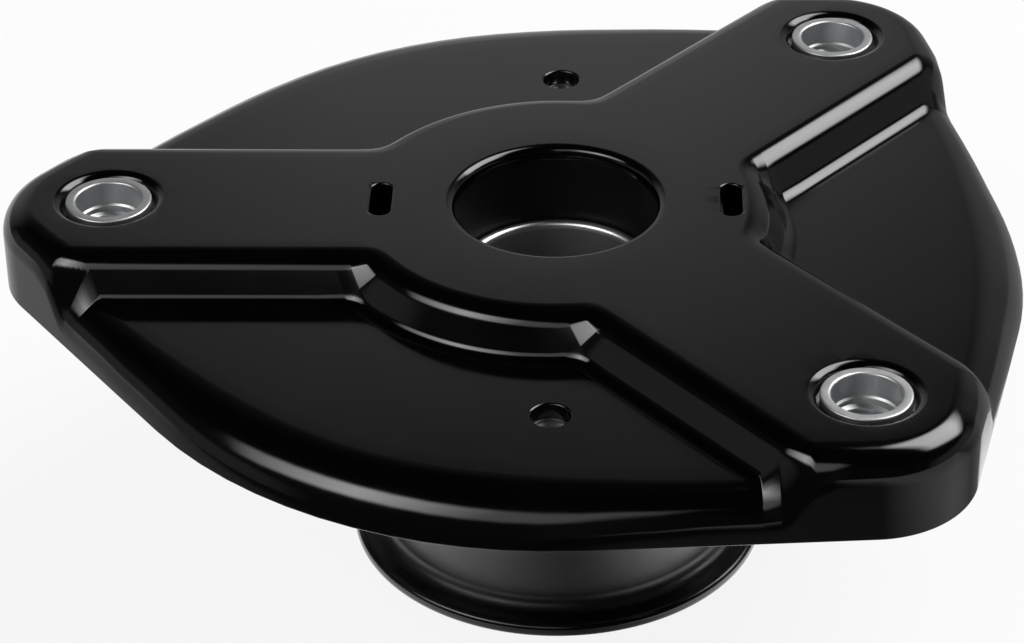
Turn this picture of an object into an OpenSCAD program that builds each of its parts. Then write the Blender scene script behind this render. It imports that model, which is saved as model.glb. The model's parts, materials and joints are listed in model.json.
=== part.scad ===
// Strut mount: a pressed three-arm top plate on a drawn pot, with a rubber-held core for the piston rod
// Millimetres. Z is up along the strut, z = 0 is the mounting face, X points between the close pair of bushes

/* [Bolt pattern] */
// Radius of the circle through the axes of the three bushes
bolt_circle_r = 72.5; // [70:0.5:76]
// Angle between the two bushes of the close pair, seen from the strut axis
pair_angle = 99; // [94:1:106]

/* [Top plate] */
// Sheet thickness of the top plate
plate_t = 2.5; // [2:0.1:2.8]
// Radius of the round dish that the arms stand on, at the skirt's lower edge
dish_r = 75.8; // [73:0.2:79]
// Radius of each arm's round end about its bush, at the skirt
lobe_r = 17.4; // [16.6:0.2:18.6]
// Distance by which the round end of an arm's flat top starts before its bush
arm_round_start = 3; // [1:0.5:4]
// Width of the flat top of an arm
arm_flat_w = 29; // [27:0.2:31]
// Radius of the flat hub round the centre hole
hub_flat_r = 30; // [29:0.2:31]
// Depth of the pressed pockets below the mounting face
pocket_depth = 6.8; // [6:0.2:7.6]
// Slope of the pocket walls, measured from the horizontal
wall_angle = 60; // [52:1:66]
// Bend radius at the head of the pocket walls, on the upper side
wall_head_r = 4.4; // [4:0.1:4.8]
// Bend radius at the foot of the pocket walls, on the upper side
wall_foot_r = 2.7; // [2.3:0.1:3.1]
// Width over which an arm's wall and the hub's wall blend in their corner
corner_blend = 5; // [2:0.5:7]
// Depth of the skirt's lower edge below the mounting face
skirt_depth = 14.6; // [13:0.2:17]
// Bend radius of the rim round the arm ends
rim_r_arm = 5; // [4:0.2:5.6]
// Bend radius of the rim at the foot of an arm's walls
rim_r_foot = 6; // [5.2:0.2:7]
// Bend radius of the rim along the round dish
rim_r_dish = 9; // [8:0.2:10]
// Height of the straight end of the skirt below the rim's bend
skirt_end_h = 1.2; // [0.8:0.1:1.6]

/* [Holes in the top plate] */
// Radius of the centre hole, through which the rod's nut is reached
centre_hole_r = 16.5; // [15:0.1:17]
// Width and depth of the turned-down mouth of the hole round each bush
bush_mouth = 1.8; // [1.4:0.1:1.9]
// Distance of the two slots from the strut axis
slot_pos = 28.3; // [27.4:0.1:28.6]
// Width of a slot
slot_w = 3.4; // [2.6:0.1:4]
// Length of a slot, round ends included
slot_len = 9.8; // [7:0.2:12]
// Distance of the two small pocket holes from the strut axis
pocket_hole_pos = 51.6; // [49:0.2:53]
// Radius of the small pocket holes in the plate
pocket_hole_r = 3; // [2.6:0.1:3.4]

/* [Lower pot] */
// Sheet thickness of the pot
pot_t = 2.5; // [2:0.1:3]
// Outside radius of the neck
neck_r = 29.8; // [29.4:0.1:30.6]
// Bend radius from the flange into the neck, on the outside
neck_bend_r = 5; // [3:0.5:6]
// Outside radius of the flange under the pockets
flange_r = 57; // [55:0.5:58]
// Radius of the flange's two holes, which lie under the pocket holes
flange_hole_r = 2.6; // [2:0.1:3]
// Depth of the lip's underside below the mounting face
lip_depth = 62.6; // [60:0.2:66]
// Outside radius of the turned-out lip
lip_r = 34.8; // [34.4:0.1:36]
// Bend radius from the neck into the lip, on the outside
lip_bend_r = 2.4; // [2:0.1:2.8]

/* [Rubber rings] */
// Depth of the groove round each ring's outside
groove_depth = 3; // [2:0.2:4]
// Height of the lower ring
lower_rubber_h = 12; // [10:0.5:14]

/* [Core] */
// Outside radius of the core's sleeve
sleeve_r = 16.6; // [16:0.1:17]
// Wall of the sleeve round the nut's pocket
sleeve_t = 1.8; // [1.4:0.1:2.4]
// Depth of the sleeve's rim below the mounting face
sleeve_top = 13.6; // [12.6:0.2:16]
// Depth of the top of the core's flange below the mounting face
core_flange_top = 22; // [20.5:0.5:23]
// Thickness of the core's flange
core_flange_t = 4; // [3.5:0.5:5]
// Radius of the core's flange
core_flange_r = 24.5; // [23:0.5:25]
// Thickness of the floor under the nut's pocket, above the spigot
pocket_floor_t = 1; // [0.6:0.1:1.4]
// Radius of the spigot under the core's flange
spigot_r = 11; // [10.5:0.5:11.5]
// Length of the spigot below the flange
spigot_len = 11; // [9:0.5:11.5]
// Radius of the hole for the piston rod
rod_hole_r = 7.1; // [6:0.1:8]

/* [Rebound plate] */
// Sheet thickness of the rebound plate
rebound_t = 3; // [2.5:0.1:3.5]
// Height of its turned-down edge, sheet thickness included
rebound_edge_h = 9; // [7:0.5:12]
// Outside bend radius of that edge
rebound_bend_r = 4.5; // [4:0.5:6]
// Radius of its centre hole, which the spigot dips into
rebound_hole_r = 14; // [13:0.5:16]

/* [Bushes] */
// Radius of the raised ring that shows in the plate
ring_r = 7; // [6.6:0.1:7.4]
// Depth of the ring's top below the mounting face
ring_top = 0.2; // [0.1:0.1:0.6]
// Radius of the welded collar under the plate
collar_r = 11.8; // [10.5:0.1:12]
// Thickness of the collar
collar_t = 3; // [2.5:0.1:4]
// Radius of the bush's shank below the collar
shank_r = 8; // [7.5:0.1:9]
// Depth of the shank's end below the mounting face
shank_end = 17.8; // [16:0.2:20]
// Radius of the smooth entry above the thread
entry_r = 5.3; // [5.1:0.1:5.6]
// Depth of that entry below the ring's top
entry_depth = 4; // [3:0.1:5]
// Core radius of the thread
thread_r = 4.25; // [4:0.05:4.5]

/* [Fits] */
// Radial gap between rubber and steel, and between the rebound plate and the neck
fit_gap = 0.1; // [0.05:0.05:0.2]
// Gap between a bush's ring and the hole in the plate round it
bush_gap = 0.4; // [0.3:0.05:0.6]
// Gap between the plate and a bush's collar, which the weld fills
weld_gap = 0.15; // [0.12:0.01:0.25]
// Radius or chamfer that breaks machined edges
edge_break = 0.6; // [0.4:0.1:0.8]

/* [Hidden] */
$fn = 96;

arm_angles = [-pair_angle / 2, pair_angle / 2, 180];
arm_spans = [pair_angle, 180 - pair_angle / 2, 180 - pair_angle / 2];
// Direction, from an arm's axis, of the line that touches both its round end and the dish
tangent_angle = acos((dish_r - lobe_r) / bolt_circle_r);
head_run = wall_head_r * sin(wall_angle);
foot_run = wall_foot_r * sin(wall_angle);
head_drop = wall_head_r * (1 - cos(wall_angle));
foot_drop = wall_foot_r * (1 - cos(wall_angle));
wall_run = head_run + foot_run + (pocket_depth - head_drop - foot_drop) / tan(wall_angle);
foot_v = arm_flat_w / 2 + wall_run;
pocket_drop = skirt_depth - pocket_depth;

plate_under = -plate_t;
flange_top = -(pocket_depth + plate_t);
neck_bore_r = neck_r - pot_t;
rubber_r = neck_bore_r - fit_gap;
core_flange_under = core_flange_top + core_flange_t;
rebound_top = core_flange_under + lower_rubber_h;

// Reach of a cut past the face that it opens
cut_over = 1;
// Sheet left inside the centre hole before the hole is cut
hub_stock = 3;
// Gap between the spigot's well in the lower ring and the rebound plate's hole
well_gap = 1;
// Radius of the round channel round each ring
groove_r = 2 * groove_depth;
// Smallest length and steepest slope told apart in the plate's rim
tiny = 0.001;
upright = 89;

// Steps of the plate's mesh along a bend, a rim, an arm's length, a pocket's width and half a round end
bend_steps = 4;
rim_steps = 6;
reach_steps = 4;
pocket_steps = 9;
round_steps = 4;

function smooth(x) = let (t = max(0, min(1, x))) t * t * (3 - 2 * t);
function smooth_min(a, b, k) = let (h = max(k - abs(a - b), 0) / k) min(a, b) - h * h * k / 4;
function mix(a, b, f) = a + (b - a) * f;
function polar(r, a) = [r * cos(a), r * sin(a)];
function unit(v) = v / norm(v);

// Drop of the pressed face at a distance d outside the edge of the flat star
function wall_drop(d) =
    d <= 0 ? 0 :
    d < head_run ? wall_head_r - sqrt(wall_head_r ^ 2 - d ^ 2) :
    d < wall_run - foot_run ? head_drop + (d - head_run) * tan(wall_angle) :
    d < wall_run ? pocket_depth - wall_foot_r + sqrt(wall_foot_r ^ 2 - (wall_run - d) ^ 2) :
    pocket_depth;

// Distances at which a wall is sampled: along the head bend, then along the foot bend
wall_samples = concat(
    [for (i = [0 : bend_steps]) wall_head_r * sin(wall_angle * i / bend_steps)],
    [for (i = [bend_steps : -1 : 0]) wall_run - wall_foot_r * sin(wall_angle * i / bend_steps)]);

// Distance outside the flat star: the hub's disc and three straight arms
function arm_distance(p, a) =
    let (u = p.x * cos(a) + p.y * sin(a), v = p.y * cos(a) - p.x * sin(a))
    u > bolt_circle_r - arm_round_start
        ? norm([u - bolt_circle_r + arm_round_start, v]) - arm_flat_w / 2
        : u > 0 ? abs(v) - arm_flat_w / 2 : norm(p);
function star_distance(p) =
    smooth_min(norm(p) - hub_flat_r, min([for (a = arm_angles) arm_distance(p, a)]), corner_blend);
function face_z(p) = -wall_drop(star_distance(p));

// The rim: a bend that starts at drop 0, then a straight end down to the skirt's edge
function rim_sweep(r, drop) = acos(1 - min(r, drop - skirt_end_h) / r);
function rim_end(r, drop) = drop - min(r, drop - skirt_end_h);
function rim_run(r, drop) =
    let (s = rim_sweep(r, drop)) r * sin(s) + (s > upright ? 0 : rim_end(r, drop) / tan(s));

// Rim radius, drop and reach at the end of an arm's lengthwise line at the offset v
round_v = (lobe_r - rim_r_arm) * sin(tangent_angle);
function on_round_end(v) = abs(v) <= round_v + tiny;
function arm_rim_r(v) =
    mix(rim_r_arm, rim_r_foot, smooth((abs(v) - round_v) / (foot_v - round_v)));
function arm_rim_reach(v) =
    rim_run(arm_rim_r(v), skirt_depth - wall_drop(abs(v) - arm_flat_w / 2));

// Where that line meets the start of the rim, and the rim's direction there
function arm_rim_u(v) = on_round_end(v)
    ? bolt_circle_r + sqrt((lobe_r - rim_r_arm) ^ 2 - v ^ 2)
    : (dish_r - arm_rim_reach(v) - abs(v) * sin(tangent_angle)) / cos(tangent_angle);
function arm_rim_dir(v) = on_round_end(v) ? asin(v / (lobe_r - rim_r_arm)) : sign(v) * tangent_angle;

// Angle, from the arm's axis, at which the foot of an arm's wall reaches the skirt's edge
foot_angle = atan2(
    foot_v + arm_rim_reach(foot_v) * sin(tangent_angle),
    arm_rim_u(foot_v) + arm_rim_reach(foot_v) * cos(tangent_angle));

// Rim radius and outline of a pocket at an angle b from the nearer arm
function rim_radius(b) =
    mix(rim_r_foot, rim_r_dish, smooth((b - foot_angle) / (pair_angle / 2 - foot_angle)));
function outline_r(b) = b < tangent_angle ? dish_r / cos(tangent_angle - b) : dish_r;

ring_radii = concat([centre_hole_r - hub_stock, (centre_hole_r + hub_flat_r) / 2],
    [for (d = wall_samples) hub_flat_r + d]);
hub_foot_r = hub_flat_r + wall_run;
function lean(v, r) = asin(v / max(r, hub_flat_r));

// One section of the pressing: from the hub along a line in plan to the rim, then down the skirt
function section(inner, start, dir, r, drop) =
    let (foot = inner[len(inner) - 1],
        plan = concat(inner, [for (i = [1 : reach_steps]) mix(foot, start, i / reach_steps)]),
        level = face_z(start),
        sweep = rim_sweep(r, drop),
        bend = [for (i = [1 : rim_steps]) let (f = sweep * i / rim_steps)
            [each start + polar(r * sin(f), dir), level - r * (1 - cos(f))]],
        edge = start + polar(rim_run(r, drop), dir))
    concat([for (p = plan) [each p, face_z(p)]], bend, [[each edge, level - drop]]);

function arm_section(a, v) =
    let (start = polar(arm_rim_u(v), a) + polar(v, a + 90))
    section([for (r = ring_radii) polar(r, a + lean(v, r))], start, a + arm_rim_dir(v), arm_rim_r(v),
        skirt_depth + face_z(start));

function pocket_section(a, span, f) =
    let (b = mix(foot_angle, span - foot_angle, f),
        near = min(b, span - b),
        dir = b < tangent_angle ? a + tangent_angle :
            span - b < tangent_angle ? a + span - tangent_angle : a + b,
        r = rim_radius(near),
        start = polar(outline_r(near), a + b) - polar(rim_run(r, pocket_drop), dir))
    section([for (q = ring_radii) polar(q, a + mix(lean(foot_v, q), span - lean(foot_v, q), f))],
        start, dir, r, pocket_drop);

// Offsets of an arm's lengthwise lines: along the round end, midway to the flat's edge, then down the wall
half_offsets = concat(
    [for (i = [1 : round_steps]) (lobe_r - rim_r_arm) * sin(tangent_angle * i / round_steps)],
    [(round_v + arm_flat_w / 2) / 2],
    [for (d = wall_samples) arm_flat_w / 2 + d]);
arm_offsets = concat([for (i = [len(half_offsets) - 1 : -1 : 0]) -half_offsets[i]], [0], half_offsets);

sections = [for (k = [0 : 2]) each concat(
    [for (v = arm_offsets) arm_section(arm_angles[k], v)],
    [for (i = [1 : pocket_steps]) pocket_section(arm_angles[k], arm_spans[k], i / (pocket_steps + 1))])];

// The outer skin from those sections, the inner skin one sheet thickness behind it, closed at both edges
module pressed_sheet() {
    n = len(sections);
    m = len(sections[0]);
    last = m - 1;
    function along(s, k) = sections[s][min(k + 1, last)] - sections[s][max(k - 1, 0)];
    function across(s, k) = sections[(s + 1) % n][k] - sections[(s + n - 1) % n][k];
    function behind(s, k) = sections[s][k] - plate_t * unit(cross(along(s, k), across(s, k)));
    function id(side, s, k) = (side * n + s % n) * m + k;
    points = concat(
        [for (s = [0 : n - 1]) each sections[s]],
        [for (s = [0 : n - 1]) for (k = [0 : last]) behind(s, k)]);
    skins = [for (s = [0 : n - 1]) for (k = [0 : last - 1]) each [
        [id(0, s, k), id(0, s + 1, k), id(0, s + 1, k + 1)],
        [id(0, s, k), id(0, s + 1, k + 1), id(0, s, k + 1)],
        [id(1, s, k), id(1, s + 1, k + 1), id(1, s + 1, k)],
        [id(1, s, k), id(1, s, k + 1), id(1, s + 1, k + 1)]]];
    edges = [for (s = [0 : n - 1]) each [
        [id(0, s, 0), id(1, s, 0), id(1, s + 1, 0)],
        [id(0, s, 0), id(1, s + 1, 0), id(0, s + 1, 0)],
        [id(0, s, last), id(1, s + 1, last), id(1, s, last)],
        [id(0, s, last), id(0, s + 1, last), id(1, s + 1, last)]]];
    polyhedron(points, concat(skins, edges), convexity = 8);
}

module at_bush(a) {
    rotate([0, 0, a]) translate([bolt_circle_r, 0, 0]) children();
}

// A slot in plan, long across the direction of X
module slot_plan() {
    reach = (slot_len - slot_w) / 2;
    square([slot_w, 2 * reach], center = true);
    for (y = [-reach, reach]) translate([0, y]) circle(d = slot_w);
}

module top_plate() {
    deep = 2 * skirt_depth;
    bush_hole_r = ring_r + bush_gap;
    color("#202123") difference() {
        pressed_sheet();
        translate([0, 0, -deep / 2]) cylinder(r = centre_hole_r, h = deep);
        for (x = [-slot_pos, slot_pos])
            translate([x, 0, -deep / 2]) linear_extrude(deep) slot_plan();
        for (y = [-pocket_hole_pos, pocket_hole_pos])
            translate([0, y, -deep / 2]) cylinder(r = pocket_hole_r, h = deep);
        for (a = arm_angles) at_bush(a) {
            translate([0, 0, plate_under - cut_over]) cylinder(r = bush_hole_r, h = plate_t + 2 * cut_over);
            translate([0, 0, -bush_mouth])
                cylinder(r1 = bush_hole_r, r2 = bush_hole_r + 2 * bush_mouth, h = 2 * bush_mouth);
        }
    }
}

// A quarter of a ring about [x, z], on the side given by the signs sx and sz
module quarter_ring(x, z, r_out, r_in, sx, sz) {
    translate([x, z]) intersection() {
        difference() {
            circle(r = r_out);
            circle(r = r_in);
        }
        translate([sx > 0 ? 0 : -r_out, sz > 0 ? 0 : -r_out]) square(r_out);
    }
}

// Half of the pot's section: flange, neck bend, neck, lip bend, lip with a round edge
module pot_profile() {
    bend_x = neck_r + neck_bend_r;
    bend_z = flange_top - pot_t - neck_bend_r;
    lip_x = neck_r + lip_bend_r;
    lip_z = -lip_depth + pot_t + lip_bend_r;
    lip_end = lip_r - pot_t / 2;
    translate([bend_x, flange_top - pot_t]) square([flange_r - bend_x, pot_t]);
    quarter_ring(bend_x, bend_z, neck_bend_r + pot_t, neck_bend_r, -1, 1);
    translate([neck_r - pot_t, lip_z]) square([pot_t, bend_z - lip_z]);
    quarter_ring(lip_x, lip_z, lip_bend_r + pot_t, lip_bend_r, -1, -1);
    translate([lip_x, -lip_depth]) square([lip_end - lip_x, pot_t]);
    translate([lip_end, -lip_depth + pot_t / 2]) intersection() {
        circle(d = pot_t);
        translate([0, -pot_t]) square(2 * pot_t);
    }
}

module lower_pot() {
    color("#26272a") difference() {
        rotate_extrude() pot_profile();
        for (y = [-pocket_hole_pos, pocket_hole_pos])
            translate([0, y, flange_top - pot_t - cut_over])
                cylinder(r = flange_hole_r, h = pot_t + 2 * cut_over);
    }
}

// A rubber ring's outside groove: a round channel at the depth z
module groove(z) {
    rotate_extrude() translate([rubber_r + groove_r - groove_depth, z]) circle(r = groove_r);
}

module upper_rubber() {
    color("#161616") difference() {
        translate([0, 0, -core_flange_top]) cylinder(r = rubber_r, h = core_flange_top - plate_t);
        translate([0, 0, -core_flange_top - cut_over])
            cylinder(r = sleeve_r + fit_gap, h = core_flange_top + cut_over);
        groove(-(core_flange_top + plate_t) / 2);
    }
}

module lower_rubber() {
    color("#161616") difference() {
        translate([0, 0, -rebound_top]) cylinder(r = rubber_r, h = lower_rubber_h);
        translate([0, 0, -rebound_top - cut_over]) {
            cylinder(r = rebound_hole_r + well_gap, h = lower_rubber_h / 2 + cut_over);
            cylinder(r = spigot_r + fit_gap, h = lower_rubber_h + 2 * cut_over);
        }
        groove(-rebound_top + lower_rubber_h / 2);
    }
}

// Half of the core's section, with a rounded rim on the sleeve and a broken edge on the flange and spigot
module core_profile() {
    rim = sleeve_t / 2;
    floor_z = -core_flange_under + pocket_floor_t;
    translate([sleeve_r - sleeve_t, floor_z]) square([sleeve_t, -sleeve_top - rim - floor_z]);
    translate([sleeve_r - rim, -sleeve_top - rim]) intersection() {
        circle(r = rim);
        translate([-rim, 0]) square([sleeve_t, rim]);
    }
    difference() {
        translate([sleeve_r, -core_flange_under]) square([core_flange_r - sleeve_r, core_flange_t]);
        for (z = [-core_flange_top, -core_flange_under])
            translate([core_flange_r, z]) rotate(45) square(edge_break * sqrt(2), center = true);
    }
    translate([rod_hole_r, -core_flange_under]) square([sleeve_r - rod_hole_r, pocket_floor_t]);
    difference() {
        translate([rod_hole_r, -core_flange_under - spigot_len]) square([spigot_r - rod_hole_r, spigot_len]);
        translate([spigot_r, -core_flange_under - spigot_len]) rotate(45)
            square(edge_break * sqrt(2), center = true);
    }
}

module inner_core() {
    color("#c9cbce") rotate_extrude() core_profile();
}

module rebound_plate() {
    edge_r = neck_bore_r - fit_gap;
    bend_x = edge_r - rebound_bend_r;
    bend_z = -rebound_top - rebound_bend_r;
    color("#2a2b2d") rotate_extrude() {
        translate([rebound_hole_r, -rebound_top - rebound_t]) square([bend_x - rebound_hole_r, rebound_t]);
        quarter_ring(bend_x, bend_z, rebound_bend_r, rebound_bend_r - rebound_t, 1, 1);
        translate([edge_r - rebound_t, -rebound_top - rebound_edge_h])
            square([rebound_t, rebound_edge_h - rebound_bend_r]);
    }
}

// A threaded bush on its own axis: ring through the plate, welded collar, shank, smooth entry and thread bore
module bush() {
    collar_top = plate_under - weld_gap;
    collar_under = collar_top - collar_t;
    color("#b4b6b8") difference() {
        union() {
            translate([0, 0, collar_top]) cylinder(r = ring_r, h = -ring_top - collar_top);
            translate([0, 0, collar_under]) cylinder(r = collar_r, h = collar_t);
            translate([0, 0, -shank_end + edge_break])
                cylinder(r = shank_r, h = collar_under + shank_end - edge_break);
            translate([0, 0, -shank_end]) cylinder(r1 = shank_r - edge_break, r2 = shank_r, h = edge_break);
        }
        entry_end = -ring_top - entry_depth;
        lead = entry_r - thread_r;
        translate([0, 0, entry_end]) cylinder(r = entry_r, h = entry_depth + cut_over);
        translate([0, 0, entry_end - lead]) cylinder(r1 = thread_r, r2 = entry_r, h = lead);
        translate([0, 0, -shank_end - cut_over]) cylinder(r = thread_r, h = shank_end);
    }
}

module bush_left() {
    at_bush(arm_angles[2]) bush();
}

module bush_rear() {
    at_bush(arm_angles[1]) bush();
}

module bush_front() {
    at_bush(arm_angles[0]) bush();
}

top_plate();
lower_pot();
upper_rubber();
inner_core();
lower_rubber();
rebound_plate();
bush_left();
bush_rear();
bush_front();
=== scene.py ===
# %% [markdown]
# # A strut mount
# This part bolts the top of a car's front strut to the body. A black pressed plate with three arms carries
# three threaded bushes, and a drawn pot below it holds a steel core between two rings of rubber.
# The CAD solids are loaded first, as a fixed frame in metres, and every piece is then modelled over them.

import json
import math

import bpy
import numpy as np
from mathutils import Matrix, Vector


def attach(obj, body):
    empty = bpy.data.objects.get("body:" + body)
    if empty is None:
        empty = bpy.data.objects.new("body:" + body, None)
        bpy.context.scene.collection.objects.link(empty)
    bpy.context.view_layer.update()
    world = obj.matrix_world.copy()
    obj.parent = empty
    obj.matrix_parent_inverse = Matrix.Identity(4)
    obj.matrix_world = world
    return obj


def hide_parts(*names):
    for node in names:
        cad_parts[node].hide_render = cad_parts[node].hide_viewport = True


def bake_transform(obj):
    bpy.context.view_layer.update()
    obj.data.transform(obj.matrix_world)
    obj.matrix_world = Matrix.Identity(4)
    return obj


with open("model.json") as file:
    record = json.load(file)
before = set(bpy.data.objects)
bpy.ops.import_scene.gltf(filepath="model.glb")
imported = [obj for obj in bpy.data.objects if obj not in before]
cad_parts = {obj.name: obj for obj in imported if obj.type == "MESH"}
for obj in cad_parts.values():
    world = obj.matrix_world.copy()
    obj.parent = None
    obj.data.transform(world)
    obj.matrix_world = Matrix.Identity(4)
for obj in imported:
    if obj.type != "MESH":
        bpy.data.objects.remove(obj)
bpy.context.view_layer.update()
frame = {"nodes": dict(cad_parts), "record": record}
MM = 0.001
MOUNTS = {mount["name"]: mount for mount in frame["record"]["mounts"]}
print("CAD nodes:", ", ".join(sorted(frame["nodes"])))

# %% [markdown]
# ## The camera
# The place of the camera was worked out from the photograph: the three bushes, the centre hole and the outline
# fix where it stood. A camera's own X axis points right, Y up and Z backwards, so those three directions are
# the columns of its matrix. A long lens close to the object gives the mild perspective of a product picture.

# %% Camera
VIEW_UP, VIEW_ROUND, VIEW_ROLL = (math.radians(angle) for angle in (33.063, 2.078, -0.964))
LOOK_AT, DISTANCE = Vector((-6.093, -36.253, 0)) * MM, 555.402 * MM
back = Vector((math.sin(VIEW_ROUND) * math.cos(VIEW_UP), -math.cos(VIEW_ROUND) * math.cos(VIEW_UP),
               math.sin(VIEW_UP)))
right = Vector((math.cos(VIEW_ROUND), math.sin(VIEW_ROUND), 0))
turn = Matrix((right, back.cross(right), back)).transposed() @ Matrix.Rotation(VIEW_ROLL, 3, "Z")

bpy.ops.object.select_all(action="DESELECT")
bpy.ops.object.camera_add()
camera = bpy.context.object
camera.matrix_world = Matrix.Translation(LOOK_AT + back * DISTANCE) @ turn.to_4x4()
camera.data.lens = 127.55
camera.data.sensor_width = 36
camera.data.clip_start = 0.01
bpy.context.scene.camera = camera
print("camera at", [round(x, 3) for x in camera.location], "m")

# %% [markdown]
# ## Working as at the bench
# Operators act on whatever is selected, so a helper selects one piece alone before each step. A second one adds
# a modifier and applies it at once, and a third welds a shell's seams, turns its normals outwards and smooths it.

# %% Helpers for selecting and finishing
SMOOTH_BELOW = math.radians(32)


def only(*pieces):
    bpy.ops.object.select_all(action="DESELECT")
    for piece in pieces:
        piece.select_set(True)
    bpy.context.view_layer.objects.active = pieces[0]


def finish_with(piece, kind, **settings):
    only(piece)
    modifier = piece.modifiers.new(kind.title(), kind)
    for name, value in settings.items():
        setattr(modifier, name, value)
    bpy.ops.object.modifier_apply(modifier=modifier.name)


def tidy_shell(piece):
    only(piece)
    bpy.ops.object.mode_set(mode="EDIT")
    bpy.ops.mesh.select_all(action="SELECT")
    bpy.ops.mesh.remove_doubles(threshold=1e-6)
    bpy.ops.mesh.normals_make_consistent(inside=False)
    bpy.ops.object.mode_set(mode="OBJECT")
    bpy.ops.object.shade_smooth_by_angle(angle=SMOOTH_BELOW)


# %% [markdown]
# Most pieces here are turned or drawn about an axis. Half of the section is drawn as a closed chain of points,
# and Spin carries it once round the axis, as a lathe does. A corner of the chain may have a radius, which is
# drawn as an arc.

# %% Helpers for turning
def rounded(corners, steps=8):
    """Closed chain of (r, z) points: each corner is (r, z) or (r, z, radius)."""
    chain = []
    for i, corner in enumerate(corners):
        here = Vector(corner[:2])
        if len(corner) == 2:
            chain.append(here)
            continue
        to_last = (Vector(corners[i - 1][:2]) - here).normalized()
        to_next = (Vector(corners[(i + 1) % len(corners)][:2]) - here).normalized()
        half = to_last.angle(to_next) / 2
        middle = here + (to_last + to_next).normalized() * corner[2] / math.sin(half)
        first = here + to_last * corner[2] / math.tan(half) - middle
        sweep = first.angle_signed(here + to_next * corner[2] / math.tan(half) - middle)
        chain += [middle + Matrix.Rotation(-sweep * k / steps, 2) @ first for k in range(steps + 1)]
    return chain


def turned(name, chain, turns=144):
    bpy.ops.object.select_all(action="DESELECT")
    bpy.ops.mesh.primitive_circle_add(vertices=len(chain), radius=10 * MM)
    piece = bpy.context.object
    piece.name = name
    for vertex, (r, z) in zip(piece.data.vertices, chain):
        vertex.co = (r * MM, 0, z * MM)
    bpy.ops.object.mode_set(mode="EDIT")
    bpy.ops.mesh.select_all(action="SELECT")
    bpy.ops.mesh.spin(steps=turns, angle=2 * math.pi, center=(0, 0, 0), axis=(0, 0, 1))
    bpy.ops.object.mode_set(mode="OBJECT")
    tidy_shell(piece)
    print(f"{name}: {len(chain)} points turned into {len(piece.data.polygons)} faces")
    return piece


# %% [markdown]
# ## The finishes
# Each finish starts from what covers the real metal. One function turns a hex colour to linear light, and one
# adds a node with its settings and links. The short ones after it add the few kinds of node that every finish
# here needs, and give back the socket to link on. Patterns are scaled from sizes in millimetres.

# %% Helpers for materials
def linear(hex_colour):
    parts = [int(hex_colour[i:i + 2], 16) / 255 for i in (1, 3, 5)]
    return [c / 12.92 if c <= 0.04045 else ((c + 0.055) / 1.055) ** 2.4 for c in parts] + [1]


def add_node(tree, kind, settings=(), **inputs):
    """A node of that kind; an input is a value or the output socket of another node."""
    node = tree.nodes.new(kind)
    for name, value in dict(settings).items():
        setattr(node, name, value)
    for name, value in inputs.items():
        socket = node.inputs[int(name[1:]) if name[1:].isdigit() else name.replace("_", " ")]
        if isinstance(value, bpy.types.NodeSocket):
            tree.links.new(value, socket)
        else:
            socket.default_value = value
    return node


def noise(tree, where, size_mm, detail):
    return add_node(tree, "ShaderNodeTexNoise", Vector=where, Scale=1 / (size_mm * MM), Detail=detail).outputs["Fac"]


def map_range(tree, value, low, high, at_low=0.0, at_high=1.0):
    return add_node(tree, "ShaderNodeMapRange", Value=value, From_Min=low, From_Max=high, To_Min=at_low,
                    To_Max=at_high).outputs["Result"]


def calculate(tree, operation, first, second=0.0):
    return add_node(tree, "ShaderNodeMath", {"operation": operation}, _0=first, _1=second).outputs[0]


def mix_values(tree, share, first, second):
    return add_node(tree, "ShaderNodeMix", Factor=share, _2=first, _3=second).outputs[0]


def mix_colours(tree, share, first, second):
    return add_node(tree, "ShaderNodeMix", {"data_type": "RGBA"}, Factor=share, _6=first, _7=second).outputs[2]


def bump(tree, height, depth_mm):
    return add_node(tree, "ShaderNodeBump", Height=height, Strength=1.0, Distance=depth_mm * MM).outputs["Normal"]


def height_of(tree, where):
    return add_node(tree, "ShaderNodeSeparateXYZ", Vector=where).outputs["Z"]


# %% [markdown]
# A material starts with the Principled shader that Blender gives it. Dressing a piece then takes three steps: the
# material, the CAD node it replaces and the body it rides on.

# %% Helpers for dressing
def new_material(name):
    material = bpy.data.materials.new(name)
    material.use_nodes = True
    tree = material.node_tree
    return material, tree, tree.nodes["Principled BSDF"]


def wire(tree, shader, colour, roughness, normal):
    for name, socket in (("Base Color", colour), ("Roughness", roughness), ("Normal", normal)):
        if isinstance(socket, bpy.types.NodeSocket):
            tree.links.new(socket, shader.inputs[name])
        else:
            shader.inputs[name].default_value = socket


def dress(piece, material, slot, body, *nodes):
    piece.data.materials.clear()
    piece.data.materials.append(material)
    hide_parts(*nodes)
    if body:
        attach(piece, body)
    print(f"{piece.name}: {material.name}, {len(piece.data.vertices)} vertices")
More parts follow.
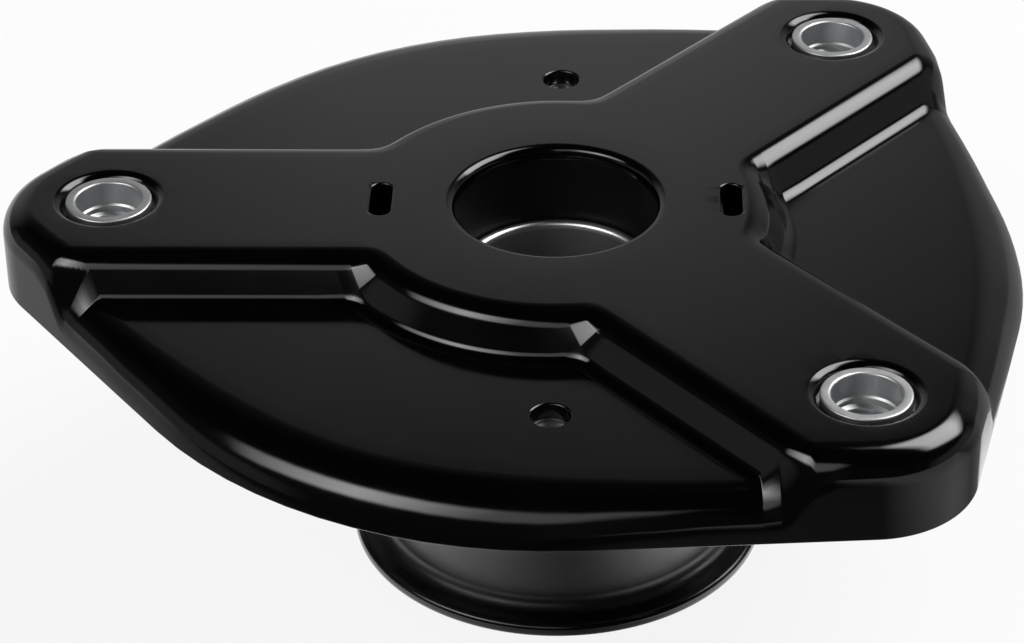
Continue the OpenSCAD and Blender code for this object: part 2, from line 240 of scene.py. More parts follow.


# %% [markdown]
# ### Electro-dip coats
# The plate is dipped in black paint under a voltage, so the coat is thin, even and very smooth. The eye sees
# almost no colour of its own: flats mirror the room faintly and bends draw bright lines. The film creeps into a
# slight orange peel about a millimetre across, and its gloss varies a little from place to place. The pot has a
# satin coat that looks greyer, and its lowest few millimetres, the lip, are near black and glossier.

# %% Coats
def electro_coat(name, colours, roughness, peel_mm, peel_depth_mm, patch_mm, patch, gloss_below_mm=None):
    material, tree, shader = new_material(name)
    where = add_node(tree, "ShaderNodeTexCoord").outputs["Object"]
    peel, patches = noise(tree, where, peel_mm, 2.0), noise(tree, where, patch_mm, 3.0)
    gloss = map_range(tree, patches, 0.3, 0.7, roughness - patch, roughness + patch)
    tint = mix_colours(tree, patches, linear(colours[0]), linear(colours[1]))
    if gloss_below_mm is not None:
        height = height_of(tree, where)
        grey = map_range(tree, height, (gloss_below_mm + 2) * MM, (gloss_below_mm + 4.5) * MM)
        satin = map_range(tree, height, gloss_below_mm * MM, (gloss_below_mm + 1) * MM)
        tint = mix_colours(tree, grey, linear("#060606"), tint)
        gloss = mix_values(tree, satin, 0.16, gloss)
    wire(tree, shader, tint, gloss, bump(tree, peel, peel_depth_mm))
    shader.inputs["IOR"].default_value = 1.52
    return material


gloss_coat = electro_coat("gloss_black_electro_coat", ("#020202", "#040404"), roughness=0.1, peel_mm=1.1,
                          peel_depth_mm=0.0006, patch_mm=14, patch=0.02)
satin_coat = electro_coat("satin_black_electro_coat", ("#2c2c2d", "#404041"), roughness=0.38, peel_mm=0.9,
                          peel_depth_mm=0.003, patch_mm=7, patch=0.06, gloss_below_mm=-60.6)
print("coats:", gloss_coat.name, satin_coat.name)

# %% [markdown]
# ### Moulded rubber
# The rubber is filled with carbon black and takes the fine grain of its spark-eroded mould. It is black, a
# little greyer where the mould's bloom has come out, and shines only softly.

# %% Rubber
rubber, tree, shader = new_material("moulded_black_rubber")
where = add_node(tree, "ShaderNodeTexCoord").outputs["Object"]
grain, bloom = noise(tree, where, 0.5, 3.0), noise(tree, where, 9, 2.0)
tint = mix_colours(tree, bloom, linear("#050505"), linear("#0a0a0a"))
wire(tree, shader, tint, 0.5, bump(tree, grain, 0.02))
shader.inputs["Specular IOR Level"].default_value = 0.25
print("rubber:", rubber.name)

# %% [markdown]
# ### Turned and plated steel
# A lathe leaves fine rings round the axis, which stretch each highlight across the rings. The bushes are dull
# from their zinc plating. The core is phosphated to a dull grey, with a rim that is turned bright. A bush stands
# off the middle, so its rings follow an attribute that holds each point's place from the turning axis, kept when
# the bush is moved.

# %% Steel
def turned_steel(name, colours, roughness, ring_depth_mm, bare_above_mm=None, ring_mm=0.35):
    material, tree, shader = new_material(name)
    where = add_node(tree, "ShaderNodeAttribute", {"attribute_name": "from_axis"}).outputs["Vector"]
    rings = add_node(tree, "ShaderNodeTexWave", {"wave_type": "RINGS", "rings_direction": "Z"}, Vector=where,
                     Scale=1 / (ring_mm * MM) / 20, Distortion=1.5, Detail=2.0).outputs["Fac"]
    plating = noise(tree, where, 2.4, 2.0)
    tint = mix_colours(tree, plating, linear(colours[0]), linear(colours[1]))
    matt = map_range(tree, plating, 0.3, 0.7, roughness - 0.03, roughness + 0.03)
    if bare_above_mm is not None:
        bare = map_range(tree, height_of(tree, where), (bare_above_mm - 0.2) * MM, (bare_above_mm + 0.2) * MM)
        tint = mix_colours(tree, bare, linear("#909091"), tint)
        matt = mix_values(tree, bare, 0.55, matt)
    wire(tree, shader, tint, matt, bump(tree, rings, ring_depth_mm))
    shader.inputs["Metallic"].default_value = 1.0
    return material


def keep_turning_axis(piece):
    places = piece.data.attributes.new("from_axis", "FLOAT_VECTOR", "POINT")
    places.data.foreach_set("vector", [x for vertex in piece.data.vertices for x in vertex.co])


zinc_steel = turned_steel("zinc_plated_turned_steel", ("#bfc0c1", "#cdcecf"), 0.42, 0.002)
bright_steel = turned_steel("phosphated_steel_with_bright_rim", ("#e4e5e6", "#eeeff0"), 0.34, 0.0015,
                            bare_above_mm=-14.6)
print("steels:", zinc_steel.name, bright_steel.name)

# %% [markdown]
# ## The pressed top plate
# The plate is one sheet, pressed into a flat star with three pockets and a rim that turns down. Bevels of three
# radii meet at the ends of the arms, where the Bevel tool folds over, so the sheet is worked out in sections, as
# a press toolmaker draws it. First come its sizes in millimetres, and what follows from them.

# %% Sizes of the pressing
BOLT_R, PAIR_ANGLE = 72.5, math.radians(99)
SHEET, DISH_R, LOBE_R, ROUND_START = 2.5, 75.8, 17.4, -12.0
ARM_HALF, HUB_R, POCKET, SKIRT = 14.6, 31.0, 6.8, 14.6
WALL, HEAD_R, FOOT_R, BLEND = math.radians(60), 4.4, 2.7, 4.5
RIM_ARM, RIM_FOOT, RIM_DISH, RIM_END = 5.0, 6.0, 9.0, 1.2
HOLE_R, HOLE_EDGE, SHEET_EDGE = 16.4, 1.5, 0.4
ARMS = (-PAIR_ANGLE / 2, PAIR_ANGLE / 2, math.pi)
SPANS = (PAIR_ANGLE, math.pi - PAIR_ANGLE / 2, math.pi - PAIR_ANGLE / 2)
TANGENT = math.acos((DISH_R - LOBE_R) / BOLT_R)
HEAD_RUN, FOOT_RUN = HEAD_R * math.sin(WALL), FOOT_R * math.sin(WALL)
HEAD_DROP, FOOT_DROP = HEAD_R * (1 - math.cos(WALL)), FOOT_R * (1 - math.cos(WALL))
WALL_RUN = HEAD_RUN + FOOT_RUN + (POCKET - HEAD_DROP - FOOT_DROP) / math.tan(WALL)
FOOT = ARM_HALF + WALL_RUN
POCKET_DROP = SKIRT - POCKET
print(f"pocket wall: {WALL_RUN:.2f} mm wide for {POCKET} mm of depth")

# %% [markdown]
# Then come the rules of the shape: how far a point lies outside the flat star, and how deep the wall has dropped
# there. Where an arm meets the hub, the smaller of the two distances counts, with a soft passage between them.

# %% Rules of the pressing
def polar(r, angle):
    return np.array((r * math.cos(angle), r * math.sin(angle)))


def mix(a, b, share):
    return a + (b - a) * share


def smooth(x):
    x = min(1, max(0, x))
    return x * x * (3 - 2 * x)


def wall_drop(d):
    if d <= 0:
        return 0.0
    if d < HEAD_RUN:
        return HEAD_R - math.sqrt(HEAD_R ** 2 - d ** 2)
    if d < WALL_RUN - FOOT_RUN:
        return HEAD_DROP + (d - HEAD_RUN) * math.tan(WALL)
    if d < WALL_RUN:
        return POCKET - FOOT_R + math.sqrt(FOOT_R ** 2 - (WALL_RUN - d) ** 2)
    return POCKET


def arm_distance(p, angle):
    u = p[0] * math.cos(angle) + p[1] * math.sin(angle)
    v = p[1] * math.cos(angle) - p[0] * math.sin(angle)
    past = u - BOLT_R + ROUND_START
    if past > 0:
        return math.hypot(past, v) - ARM_HALF
    return abs(v) - ARM_HALF if u > 0 else math.hypot(*p)


def face_z(p):
    hub, arm = math.hypot(*p) - HUB_R, min(arm_distance(p, angle) for angle in ARMS)
    near = max(BLEND - abs(hub - arm), 0) / BLEND
    return -wall_drop(min(hub, arm) - near ** 3 * BLEND / 6)


print(f"depth 40 mm out, between the close arms: {-face_z(polar(40, 0)):.2f} mm")

# %% [markdown]
# The rim is a bend that ends in a short straight edge. Its radius is smallest round the arm ends and largest
# along the dish. The fall of the rim is added to the height of the face, so a wall that runs out into the rim
# bends over with it and shows no crease.

# %% Rules of the rim
ROUND_R = LOBE_R - RIM_ARM
ROUND_V = ROUND_R * math.sin(TANGENT)


def rim_sweep(r, drop):
    return math.acos(1 - min(r, drop - RIM_END) / r)


def rim_run(r, drop):
    sweep = rim_sweep(r, drop)
    straight = 0 if sweep > math.radians(89) else (drop - min(r, drop - RIM_END)) / math.tan(sweep)
    return r * math.sin(sweep) + straight


def arm_rim(v):
    """Radius, reach, start and direction of the rim at the end of an arm's line at the offset v."""
    r = mix(RIM_ARM, RIM_FOOT, smooth((abs(v) - ROUND_V) / (FOOT - ROUND_V)))
    reach = r
    for _ in range(8):
        reach = rim_run(r, SKIRT - wall_drop(abs(v) + reach * math.sin(TANGENT) - ARM_HALF))
    if abs(v) <= ROUND_V + 1e-6:
        return r, reach, BOLT_R + math.sqrt(ROUND_R ** 2 - v ** 2), math.asin(v / ROUND_R)
    start = (DISH_R - reach - abs(v) * math.sin(TANGENT)) / math.cos(TANGENT)
    return r, reach, start, math.copysign(TANGENT, v)


_, foot_reach, foot_u, _ = arm_rim(FOOT)
FOOT_ANGLE = math.atan2(FOOT + foot_reach * math.sin(TANGENT), foot_u + foot_reach * math.cos(TANGENT))
print(f"a wall's foot meets the outline {math.degrees(FOOT_ANGLE):.1f} degrees beside its arm")

# %% [markdown]
# Each section is a row of points that runs from the centre hole outwards: along an arm on lines that stay
# parallel to the arm, and across a pocket on lines that fan out. The points lie closest in the bends.

# %% Sections of the pressing
BEND_STEPS, RIM_STEPS, REACH_STEPS, POCKET_STEPS, ROUND_STEPS = 9, 14, 9, 20, 10
WALL_TURN = [math.sin(WALL * i / BEND_STEPS) for i in range(BEND_STEPS + 1)]
WALL_SAMPLES = [HEAD_R * x for x in WALL_TURN] + [WALL_RUN - FOOT_R * x for x in reversed(WALL_TURN)]
RINGS = [HOLE_R + HOLE_EDGE, (HOLE_R + HUB_R) / 2] + [HUB_R + d for d in WALL_SAMPLES]


def section(inner, start, direction, r, drop):
    foot, sweep = inner[-1], rim_sweep(r, drop)
    plan = [(p, 0.0) for p in inner + [mix(foot, start, i / REACH_STEPS) for i in range(1, REACH_STEPS + 1)]]
    rim = [(start + polar(r * math.sin(f), direction), r * (1 - math.cos(f)))
           for f in (sweep * i / RIM_STEPS for i in range(1, RIM_STEPS + 1))]
    edge = start + polar(rim_run(r, drop), direction)
    return [(*p, face_z(p) - fall) for p, fall in plan + rim] + [(*edge, -SKIRT)]


def lean(v, r):
    return math.asin(v / max(r, HUB_R))


def arm_section(angle, v):
    r, reach, u, direction = arm_rim(v)
    start = polar(u, angle) + polar(v, angle + math.pi / 2)
    inner = [polar(ring, angle + lean(v, ring)) for ring in RINGS]
    return section(inner, start, angle + direction, r, SKIRT + face_z(start + polar(reach, angle + direction)))


def pocket_section(angle, span, share):
    b = mix(FOOT_ANGLE, span - FOOT_ANGLE, share)
    near = min(b, span - b)
    r = mix(RIM_FOOT, RIM_DISH, smooth((near - FOOT_ANGLE) / (PAIR_ANGLE / 2 - FOOT_ANGLE)))
    direction = b if near > TANGENT else TANGENT if b < span / 2 else span - TANGENT
    outline = DISH_R if near > TANGENT else DISH_R / math.cos(TANGENT - near)
    start = polar(outline, angle + b) - polar(rim_run(r, POCKET_DROP), angle + direction)
    inner = [polar(ring, angle + mix(lean(FOOT, ring), span - lean(FOOT, ring), share)) for ring in RINGS]
    return section(inner, start, angle + direction, r, POCKET_DROP)


half = [ROUND_R * math.sin(TANGENT * i / ROUND_STEPS) for i in range(1, ROUND_STEPS + 1)]
half += [mix(ROUND_V, ARM_HALF, i / 3) for i in (1, 2)] + [ARM_HALF + d for d in WALL_SAMPLES]
OFFSETS = [-v for v in reversed(half)] + [0.0] + half
outer = np.array([line for angle, span in zip(ARMS, SPANS) for line in
                  [arm_section(angle, v) for v in OFFSETS]
                  + [pocket_section(angle, span, i / (POCKET_STEPS + 1)) for i in range(1, POCKET_STEPS + 1)]])
print("sections:", outer.shape[0], "points in each:", outer.shape[1])

# %% [markdown]
# The sections give the upper skin. The underside lies one sheet thickness behind it, and both edges of the sheet
# get a small radius. A loop then runs over the top, round the edge, back underneath and up through the hole.

# %% Loops round the sheet
def quarter(corner, radius, away, along, steps=6):
    """Rows of a quarter round that starts on a skin, at the corner, and ends on the sheet's cut edge."""
    return [corner + radius * (away * (1 - math.cos(f)) + along * math.sin(f))
            for f in (math.pi / 2 * i / steps for i in range(steps + 1))]


along = np.gradient(outer, axis=1)
across = np.roll(outer, -1, axis=0) - np.roll(outer, 1, axis=0)
normals = np.cross(along, across)
normals /= np.linalg.norm(normals, axis=2)[:, :, None]
normals *= np.sign(normals[0, 0, 2])
skirt_way = along[:, -1] / np.linalg.norm(along[:, -1], axis=1)[:, None]
outer[:, -1] -= skirt_way * SHEET_EDGE
inner = outer - SHEET * normals
hole_way = -outer[:, 0] * (1, 1, 0) / np.linalg.norm(outer[:, 0, :2], axis=1)[:, None]
last = outer.shape[1] - 1
rows = [outer[:, k] for k in range(last)]
rows += quarter(outer[:, last], SHEET_EDGE, -normals[:, last], skirt_way)
rows += quarter(inner[:, last], SHEET_EDGE, normals[:, last], skirt_way)[::-1]
rows += [inner[:, k] for k in reversed(range(last))]
rows += quarter(inner[:, 0] + hole_way * (HOLE_EDGE - SHEET_EDGE), SHEET_EDGE, normals[:, 0], hole_way)
rows += quarter(outer[:, 0], HOLE_EDGE, -normals[:, 0], hole_way)[:0:-1]
points = np.stack(rows, axis=1) * MM
print("loops:", points.shape[0], "points in each:", points.shape[1])

# %% [markdown]
# A plate with a hole in its middle has the rows of a doughnut. So a torus primitive is added, and each of its
# rings is laid on one loop. Blender gives a torus at most 256 rings, which sets how many sections there can be.

# %% Lay a torus on the loops
bpy.ops.object.select_all(action="DESELECT")
bpy.ops.mesh.primitive_torus_add(major_segments=points.shape[0], minor_segments=points.shape[1])
top_plate = bpy.context.object
top_plate.name = "pressed_plate"
top_plate.data.vertices.foreach_set("co", points.ravel())
top_plate.data.update()
while top_plate.data.uv_layers:
    top_plate.data.uv_layers.remove(top_plate.data.uv_layers[0])
tidy_shell(top_plate)
print("pressed plate:", len(top_plate.data.polygons), "faces")

# %% [markdown]
# The holes are punched with cutters, as in the press. A punch draws the top edge of its hole down, so a cutter
# is a disc drawn up ring by ring, with a flare at the top that leaves a rounded edge. It is turned by half a
# step, because a Boolean leaves slivers where a cutter's corner lies exactly on an edge of the sheet.

# %% A punch
FLARE_END = math.radians(84)
PUNCH_FOOT, PUNCH_HEAD, FLARE_CLEAR = -8, 1.0, 0.01


def place(piece, x, y, z=0.0):
    piece.data.transform(Matrix.Translation(Vector((x, y, z)) * MM))


def punch(name, r, round_r, points=72):
    bpy.ops.object.select_all(action="DESELECT")
    bpy.ops.mesh.primitive_circle_add(vertices=points, radius=r * MM, fill_type="NGON")
    tool = bpy.context.object
    tool.name = name
    tool.data.transform(Matrix.Rotation(math.pi / points, 4, "Z"))
    place(tool, 0, 0, PUNCH_FOOT)
    flare = [(r + round_r * (1 - math.cos(f)), round_r * (math.sin(f) - math.sin(FLARE_END)) + FLARE_CLEAR)
             for f in (FLARE_END * i / 8 for i in range(9))]
    bpy.ops.object.mode_set(mode="EDIT")
    bpy.ops.mesh.select_all(action="SELECT")
    old_r, old_z = r, PUNCH_FOOT
    for new_r, z in flare + [(r + round_r, PUNCH_HEAD)]:
        bpy.ops.mesh.extrude_region_move(TRANSFORM_OT_translate={"value": (0, 0, (z - old_z) * MM)})
        bpy.ops.transform.resize(value=(new_r / old_r, new_r / old_r, 1))
        old_r, old_z = new_r, z
    bpy.ops.mesh.select_all(action="SELECT")
    bpy.ops.mesh.normals_make_consistent(inside=False)
    bpy.ops.object.mode_set(mode="OBJECT")
    bpy.ops.object.shade_smooth_by_angle(angle=SMOOTH_BELOW)
    return tool


def cut(piece, tool):
    finish_with(piece, "BOOLEAN", object=tool, operation="DIFFERENCE", solver="EXACT")
    bpy.data.objects.remove(tool)


print(f"flare: {math.degrees(FLARE_END):.0f} degrees of a quarter round")

# %% [markdown]
# The bushes' holes stand where the record puts the threads. A slot's cutter is a round one whose two halves are
# drawn apart. Each cutter is then taken from the plate by a Boolean of its own, and Weighted Normal keeps the
# flats flat in the shading.

# %% Punch the holes
BUSHES = {name: Vector(MOUNTS["thread_" + name]["pos_m"]) / MM for name in ("left", "rear", "front")}
BUSH_HOLE_R, BUSH_HOLE_EDGE, BUSH_HOLE_POINTS = 7.4, 1.9, 96
POCKET_HOLE_Y, POCKET_HOLE_R, POCKET_HOLE_EDGE = 51.6, 3.0, 0.45
SLOT_X, SLOT_R, SLOT_HALF, SLOT_EDGE = 28.3, 1.7, 3.2, 0.4
cutters = []
for name, spot in BUSHES.items():
    cutters.append(punch("punch_bush_" + name, BUSH_HOLE_R, BUSH_HOLE_EDGE, BUSH_HOLE_POINTS))
    place(cutters[-1], spot.x, spot.y)
for y in (-POCKET_HOLE_Y, POCKET_HOLE_Y):
    cutters.append(punch("punch_pocket", POCKET_HOLE_R, POCKET_HOLE_EDGE))
    place(cutters[-1], 0, y, -POCKET)
for x in (-SLOT_X, SLOT_X):
    cutters.append(punch("punch_slot", SLOT_R, SLOT_EDGE))
    for vertex in cutters[-1].data.vertices:
        vertex.co.y += (SLOT_HALF if vertex.co.y > 0 else -SLOT_HALF) * MM
    place(cutters[-1], x, 0)
for cutter in cutters:
    cut(top_plate, cutter)
only(top_plate)
bpy.ops.object.shade_smooth_by_angle(angle=SMOOTH_BELOW)
finish_with(top_plate, "WEIGHTED_NORMAL", weight=60, keep_sharp=True)
dress(top_plate, gloss_coat, "plate_coat", "housing", "top_plate")

# %% [markdown]
# ## The drawn pot
# The pot is a drawn cup without a floor: a flange under the pockets, a neck, and a lip that turns out at the
# bottom. A sheet bends with one thickness all along, so each bend has two radii one thickness apart. The small
# holes of the pockets run on through its flange.

# %% Pot
POT_T, NECK_R, FLANGE_R, LIP_R, LIP_Z = 2.5, 29.8, 57.0, 34.8, -62.6
FLANGE_TOP = -(POCKET + SHEET)
pot = turned("drawn_pot", rounded([
    (FLANGE_R, FLANGE_TOP, 0.5), (FLANGE_R, FLANGE_TOP - POT_T, 0.5), (NECK_R, FLANGE_TOP - POT_T, 5.0),
    (NECK_R, LIP_Z + POT_T, 2.4), (LIP_R, LIP_Z + POT_T, 1.2), (LIP_R, LIP_Z, 1.2),
    (NECK_R - POT_T, LIP_Z, 4.9), (NECK_R - POT_T, FLANGE_TOP, 7.5)], 12), 192)
FLANGE_HOLE_R, FLANGE_HOLE_EDGE = 2.6, 0.3
for y in (-POCKET_HOLE_Y, POCKET_HOLE_Y):
    cutter = punch("punch_flange", FLANGE_HOLE_R, FLANGE_HOLE_EDGE)
    place(cutter, 0, y, FLANGE_TOP)
    cut(pot, cutter)
finish_with(pot, "WEIGHTED_NORMAL", weight=60, keep_sharp=True)
dress(pot, satin_coat, "pot_coat", "housing", "lower_pot")

# %% [markdown]
# ## The rebound plate
# Inside the neck a shallow pressed cup closes the space below the rubber. It stops the core on the way down and
# holds the head of the bump stop.

# %% Rebound plate
REBOUND_Z, REBOUND_R, REBOUND_HOLE, REBOUND_T, REBOUND_DEEP = -38.0, 27.2, 14.0, 3.0, 9.0
UNDER, RIM_BOTTOM = REBOUND_Z - REBOUND_T, REBOUND_Z - REBOUND_DEEP
rebound = turned("rebound_plate_pressing", rounded([
    (REBOUND_HOLE, REBOUND_Z, 0.4), (REBOUND_R, REBOUND_Z, 4.5), (REBOUND_R, RIM_BOTTOM, 0.5),
    (REBOUND_R - REBOUND_T, RIM_BOTTOM, 0.5), (REBOUND_R - REBOUND_T, UNDER, 1.5), (REBOUND_HOLE, UNDER, 0.4)]))
dress(rebound, satin_coat, "pot_coat", "housing", "rebound_plate")

# %% [markdown]
# ## The core
# The core is turned from steel: a sleeve that holds the rod's nut, a flange that sits between the two rubbers,
# and a spigot with the hole for the rod. Its rounded rim is the bright crescent in the centre hole.

# %% Core
RIM_Z, POCKET_FLOOR, SPIGOT_Z, FLANGE_UP, FLANGE_DOWN = -13.6, -25.0, -37.0, -22.0, -26.0
NUT_R, ROD_R, SPIGOT_R, CORE_R, SLEEVE_R = 14.8, 7.1, 11.0, 24.5, 16.6
core = turned("turned_core", rounded([
    (NUT_R, RIM_Z, 0.85), (NUT_R, POCKET_FLOOR, 0.5), (ROD_R, POCKET_FLOOR, 0.4), (ROD_R, SPIGOT_Z, 0.5),
    (SPIGOT_R, SPIGOT_Z, 0.6), (SPIGOT_R, FLANGE_DOWN, 0.4), (CORE_R, FLANGE_DOWN, 0.6), (CORE_R, FLANGE_UP, 0.6),
    (SLEEVE_R, FLANGE_UP, 0.5), (SLEEVE_R, RIM_Z, 0.85)]))
keep_turning_axis(core)
dress(core, bright_steel, "core_steel", "core", "inner_core")

# %% [markdown]
# ## The rubbers
# Two moulded rings hold the core, one on each side of its flange. Each has a groove round its outside, which
# lets it bulge. When the core moves, a ring's one end stays with the housing and its other end goes with the
# core.

# %% Rubbers
RUBBER_R, RUBBER_GAP = 27.2, 0.1


def groove(z, depth=3.0, steps=14):
    """Chain of the round channel in a ring's outside, from its lower to its upper edge."""
    r, out = 2 * depth, RUBBER_R + depth
    reach = math.acos(depth / r)
    return [(out - r * math.cos(f), z + r * math.sin(f))
            for f in (reach * (2 * i / steps - 1) for i in range(steps + 1))]


bore = SLEEVE_R + RUBBER_GAP
upper = turned("upper_rubber_ring", rounded([(bore, -SHEET), (bore, FLANGE_UP), (RUBBER_R, FLANGE_UP, 0.6)])
               + groove(-12.25) + rounded([(RUBBER_R, -12.0), (RUBBER_R, -SHEET, 0.6), (20.0, -SHEET)])[1:])
dress(upper, rubber, "ring_rubber", None, "upper_rubber")
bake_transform(upper)

bore = SPIGOT_R + RUBBER_GAP
lower = turned("lower_rubber_ring", rounded([
    (bore, FLANGE_DOWN), (bore, -32.0, 0.4), (15.0, -32.0, 1.0), (15.0, REBOUND_Z, 0.5), (RUBBER_R, REBOUND_Z, 0.6)])
    + groove(-32.0) + rounded([(RUBBER_R, -30.0), (RUBBER_R, FLANGE_DOWN, 0.6), (20.0, FLANGE_DOWN)])[1:])
dress(lower, rubber, "ring_rubber", None, "lower_rubber")
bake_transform(lower)

# %% [markdown]
# ## The threaded bushes
# Each bush is turned with a ring that shows in the plate, a collar welded under it and a threaded shank. The
# thread is a real helix: one turn of its profile is swept by the Screw modifier, with a pitch of 1.5 mm, and
# joined to the bore.

# %% Bush
PITCH, THREAD_CREST, THREAD_ROOT, THREAD_TURNS, THREAD_Z = 1.5, 4.3, 5.0, 8, -16.9
first_bush = turned("bush", rounded([
    (7.0, -0.2, 0.3), (7.0, -2.65), (11.8, -2.65, 0.4), (11.8, -5.65, 0.6), (8.0, -5.65, 0.4), (8.0, -17.8, 0.6),
    (THREAD_ROOT + 0.4, -17.8), (THREAD_ROOT, -17.4), (THREAD_ROOT, -4.5), (5.3, -4.2), (5.3, -0.2, 0.45)]), 96)

bpy.ops.object.select_all(action="DESELECT")
bpy.ops.mesh.primitive_circle_add(vertices=4, radius=1 * MM)
ridge = bpy.context.object
for vertex, (r, z) in zip(ridge.data.vertices, ((THREAD_ROOT + 0.3, -0.72), (THREAD_CREST, -0.15),
                                                (THREAD_CREST, 0.15), (THREAD_ROOT + 0.3, 0.72))):
    vertex.co = (r * MM, 0, (z + THREAD_Z) * MM)
finish_with(ridge, "SCREW", angle=2 * math.pi, screw_offset=PITCH * MM, iterations=THREAD_TURNS, steps=64,
            render_steps=64, axis="Z", use_smooth_shade=True)
only(ridge)
bpy.ops.object.mode_set(mode="EDIT")
bpy.ops.mesh.select_all(action="DESELECT")
bpy.ops.mesh.select_non_manifold()
bpy.ops.mesh.edge_face_add()
bpy.ops.object.mode_set(mode="OBJECT")
tidy_shell(ridge)
only(first_bush, ridge)
bpy.ops.object.join()
keep_turning_axis(first_bush)
print("thread:", THREAD_TURNS, "turns of", PITCH, "mm")

# %% [markdown]
# The bush is then copied to the three bolts. Each copy gets a mesh of its own, which is moved instead of the
# object, so every piece keeps its origin on the strut axis.

# %% Three bushes
for name, spot in BUSHES.items():
    bush = first_bush.copy()
    bush.data = first_bush.data.copy()
    bush.name = "threaded_bush_" + name
    bpy.context.scene.collection.objects.link(bush)
    place(bush, spot.x, spot.y)
    dress(bush, zinc_steel, "bush_steel", "housing", "bush_" + name)
bpy.data.objects.remove(first_bush)

# %% [markdown]
# ## The studio
# The part stands on a wide white floor. Most of the white that the camera sees is a glow of the floor's own, so
# the ground is clean and the part's shadow stays faint. From below the floor is clear, so that the underside can
# be seen.

# %% Floor
bpy.ops.object.select_all(action="DESELECT")
bpy.ops.mesh.primitive_plane_add(size=6.0, location=(0, 0, 0))
floor = bpy.context.object
floor.name = "floor"
floor.data.transform(Matrix.Translation((0, 0, LIP_Z * MM)))
paper, tree, shader = new_material("white_sweep")
shader.inputs["Base Color"].default_value = linear("#e6e6e6")
shader.inputs["Roughness"].default_value = 0.9
floor.data.materials.append(paper)
print("floor at z =", LIP_Z, "mm")

# %% [markdown]
# Glossy rays draw what the coat mirrors. For them the floor has a level that changes with the place, as in the
# photograph: high behind the part and on the left, low in front, higher again at the front right, and highest
# close to the neck's two sides. A colour ramp follows a value through pairs of place and level.
# This level is a painted reflection. For glossy rays the floor glows by place, not by the light that falls on it,
# and the bright patch at the neck's sides is a painted glow that the neck mirrors.

# %% Painted reflections: what the coat mirrors in the floor
GLOW_SEEN = 0.88


def ramp(tree, value, stops):
    node = add_node(tree, "ShaderNodeValToRGB", Fac=value)
    for i, (at, grey) in enumerate(stops):
        elements = node.color_ramp.elements
        stop = elements[0] if i == 0 else elements[-1] if i == len(stops) - 1 else elements.new(at)
        stop.position = at
        stop.color = (grey, grey, grey, 1)
    return node.outputs["Color"]


where = add_node(tree, "ShaderNodeTexCoord").outputs["Object"]
spot = add_node(tree, "ShaderNodeSeparateXYZ", Vector=where)
x, y = spot.outputs["X"], spot.outputs["Y"]
# Painted reflection levels, seen only by glossy rays: dim in front, bright behind and to the left, brighter at the
# front right.
painted_glow_front_to_back = ramp(tree, map_range(tree, y, -0.4, 0.2),
              ((0.0, 0.03), (0.3, 0.045), (0.45, 0.225), (0.6, 0.36), (0.8, 0.75), (1.0, 0.9)))
painted_glow_left_to_right = calculate(tree, "MULTIPLY", painted_glow_front_to_back, map_range(tree, x, -0.1, 0.1, 0.9, 0.37))
painted_glow_front_right = calculate(tree, "MULTIPLY", map_range(tree, x, 0.06, 0.13, 0.0, 0.6),
                        map_range(tree, y, -0.06, 0.0, 1.0, 0.0))
# A painted glow on the floor round the neck, brightest at its two sides, which shows in the neck as a painted
# reflection.
apart = add_node(tree, "ShaderNodeVectorMath", {"operation": "DISTANCE"}, _0=where, _1=(0, 0.02, LIP_Z * MM))
painted_glow_across_neck = ramp(tree, map_range(tree, x, -0.05, 0.05), ((0.0, 0.8), (0.3, 0.37), (0.42, 0.16), (0.55, 0.06),
                                                      (0.66, 0.16), (0.76, 0.5), (0.88, 1.0), (1.0, 1.0)))
painted_glow_by_neck = calculate(tree, "MULTIPLY", map_range(tree, apart.outputs["Value"], 0.07, 0.1, 3.2, 0.0), painted_glow_across_neck)
painted_reflection_level = calculate(tree, "MAXIMUM", calculate(tree, "MAXIMUM", painted_glow_left_to_right, painted_glow_front_right), painted_glow_by_neck)

path = add_node(tree, "ShaderNodeLightPath")
level = mix_values(tree, path.outputs["Is Camera Ray"], painted_reflection_level, 1.0)
share = calculate(tree, "MAXIMUM", calculate(tree, "MULTIPLY", path.outputs["Is Camera Ray"], GLOW_SEEN),
                  path.outputs["Is Glossy Ray"])
glow = add_node(tree, "ShaderNodeEmission", Color=(1, 1, 1, 1), Strength=level)
above = add_node(tree, "ShaderNodeMixShader", _0=share, _1=shader.outputs[0], _2=glow.outputs[0])
one_sided = add_node(tree, "ShaderNodeMixShader", _0=add_node(tree, "ShaderNodeNewGeometry").outputs["Backfacing"],
                     _1=above.outputs[0], _2=add_node(tree, "ShaderNodeBsdfTransparent").outputs[0])
tree.links.new(one_sided.outputs[0], tree.nodes["Material Output"].inputs["Surface"])
print("floor nodes:", len(tree.nodes))

# %% [markdown]
# The room is dark, apart from a white backdrop behind the part, which the flats of the plate mirror. It is
# brightest low down and a little left of the middle, and a weak glow on both sides reaches the ends of the rim.
# The camera itself sees the backdrop at full strength everywhere.

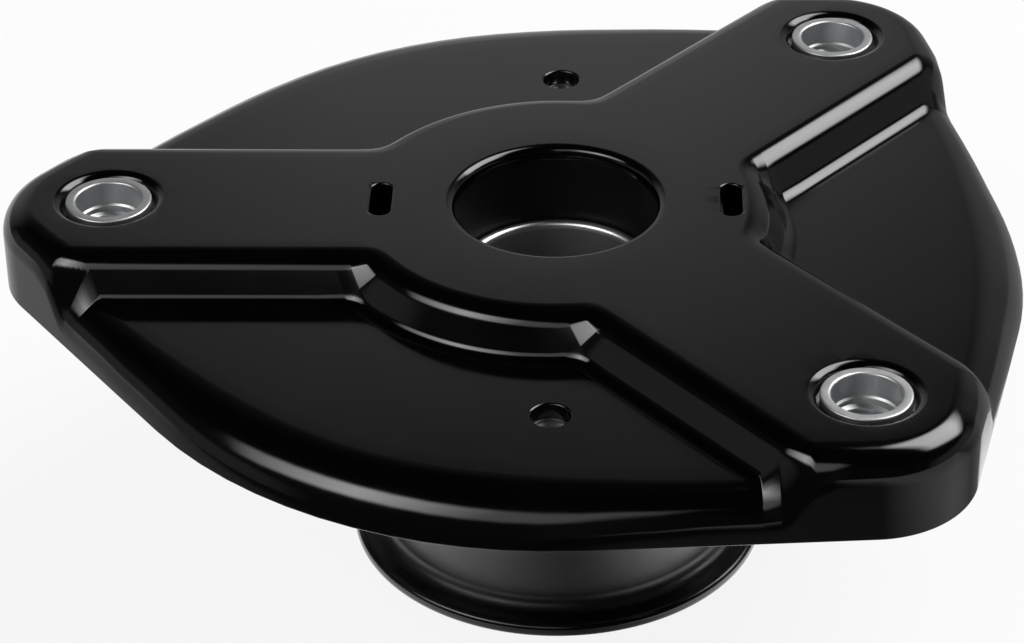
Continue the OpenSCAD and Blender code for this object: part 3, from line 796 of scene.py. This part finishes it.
# %% Room
world = bpy.data.worlds.new("studio")
bpy.context.scene.world = world
world.use_nodes = True
tree = world.node_tree
toward = add_node(tree, "ShaderNodeSeparateXYZ", Vector=add_node(tree, "ShaderNodeTexCoord").outputs["Generated"])
x, y, z = (toward.outputs[axis] for axis in "XYZ")
backdrop = ramp(tree, z, ((0.0, 0.62), (0.36, 0.72), (0.47, 0.58), (0.515, 0.4), (0.545, 0.28), (0.575, 0.15),
                          (0.62, 0.1), (1.0, 0.03)))
middle = ramp(tree, map_range(tree, x, -0.15, 0.15),
              ((0.0, 0.6), (0.25, 1.0), (0.55, 1.0), (0.7, 0.75), (0.85, 0.5), (1.0, 0.42)))
wall = calculate(tree, "MULTIPLY", map_range(tree, y, 0.5, 0.85, 0.08, 1.0), middle)
flanks = calculate(tree, "MULTIPLY", map_range(tree, calculate(tree, "ABSOLUTE", x), 0.8, 0.93, 0.0, 0.34),
                   map_range(tree, z, 0.25, 0.34, 1.0, 0.0))
strength = calculate(tree, "MAXIMUM", calculate(tree, "MAXIMUM", wall, flanks),
                     add_node(tree, "ShaderNodeLightPath").outputs["Is Camera Ray"])
sky = tree.nodes["Background"]
tree.links.new(backdrop, sky.inputs["Color"])
tree.links.new(strength, sky.inputs["Strength"])
print("room nodes:", len(tree.nodes))

# %% [markdown]
# Two large soft boxes stand to the left of the camera and behind the part on the right. Their images are the
# bright lines along the bends, so each box fades along its width and towards its edges as those lines do. An
# area lamp's power is four times its radiance times its area, so a box stays as bright when its size changes.
# The Standard view transform shows the light as it falls, without a film curve.

# %% Lamps
POWER_FACTOR, BOX_DISTANCE = 4, 1.2
BOX_EDGES = ((0.0, 0.0), (0.22, 1.0), (0.78, 1.0), (1.0, 0.0))


def softbox(name, azimuth, elevation, width, height, radiance, tilt, stops):
    """Azimuth is counted from the camera's side, to the right; the stops give the level along the width."""
    a, e = math.radians(azimuth), math.radians(elevation)
    spot = Vector((math.sin(a) * math.cos(e), -math.cos(a) * math.cos(e), math.sin(e))) * BOX_DISTANCE
    bpy.ops.object.light_add(type="AREA", location=spot)
    lamp = bpy.context.object
    lamp.name = name
    lamp.rotation_euler = spot.to_track_quat("Z", "Y").to_euler()
    lamp.rotation_euler.rotate_axis("Z", math.radians(tilt))
    lamp.data.shape = "RECTANGLE"
    lamp.data.size, lamp.data.size_y = width, height
    lamp.data.energy = POWER_FACTOR * radiance * width * height
    lamp.data.use_nodes = True
    tree = lamp.data.node_tree
    place_on = add_node(tree, "ShaderNodeNewGeometry").outputs["Parametric"]
    sides = add_node(tree, "ShaderNodeSeparateXYZ", Vector=place_on)
    emission = tree.nodes["Emission"]
    tree.links.new(ramp(tree, sides.outputs["X"], stops), emission.inputs["Color"])
    tree.links.new(ramp(tree, sides.outputs["Y"], BOX_EDGES), emission.inputs["Strength"])
    print(f"{name}: {lamp.data.energy:.1f} W, {width} x {height} m")


softbox("left_box", azimuth=-42, elevation=42, width=1.75, height=0.54, radiance=5.2, tilt=6.5,
        stops=((0.0, 0.0), (0.08, 0.3), (0.41, 1.0), (0.62, 0.42), (0.72, 0.18), (0.93, 0.15), (1.0, 0.0)))
softbox("right_box", azimuth=117, elevation=50, width=1.1, height=0.95, radiance=6.5, tilt=33,
        stops=((0.0, 0.1), (0.15, 0.9), (0.5, 1.0), (0.85, 0.85), (1.0, 0.0)))
bpy.context.scene.view_settings.view_transform = "Standard"
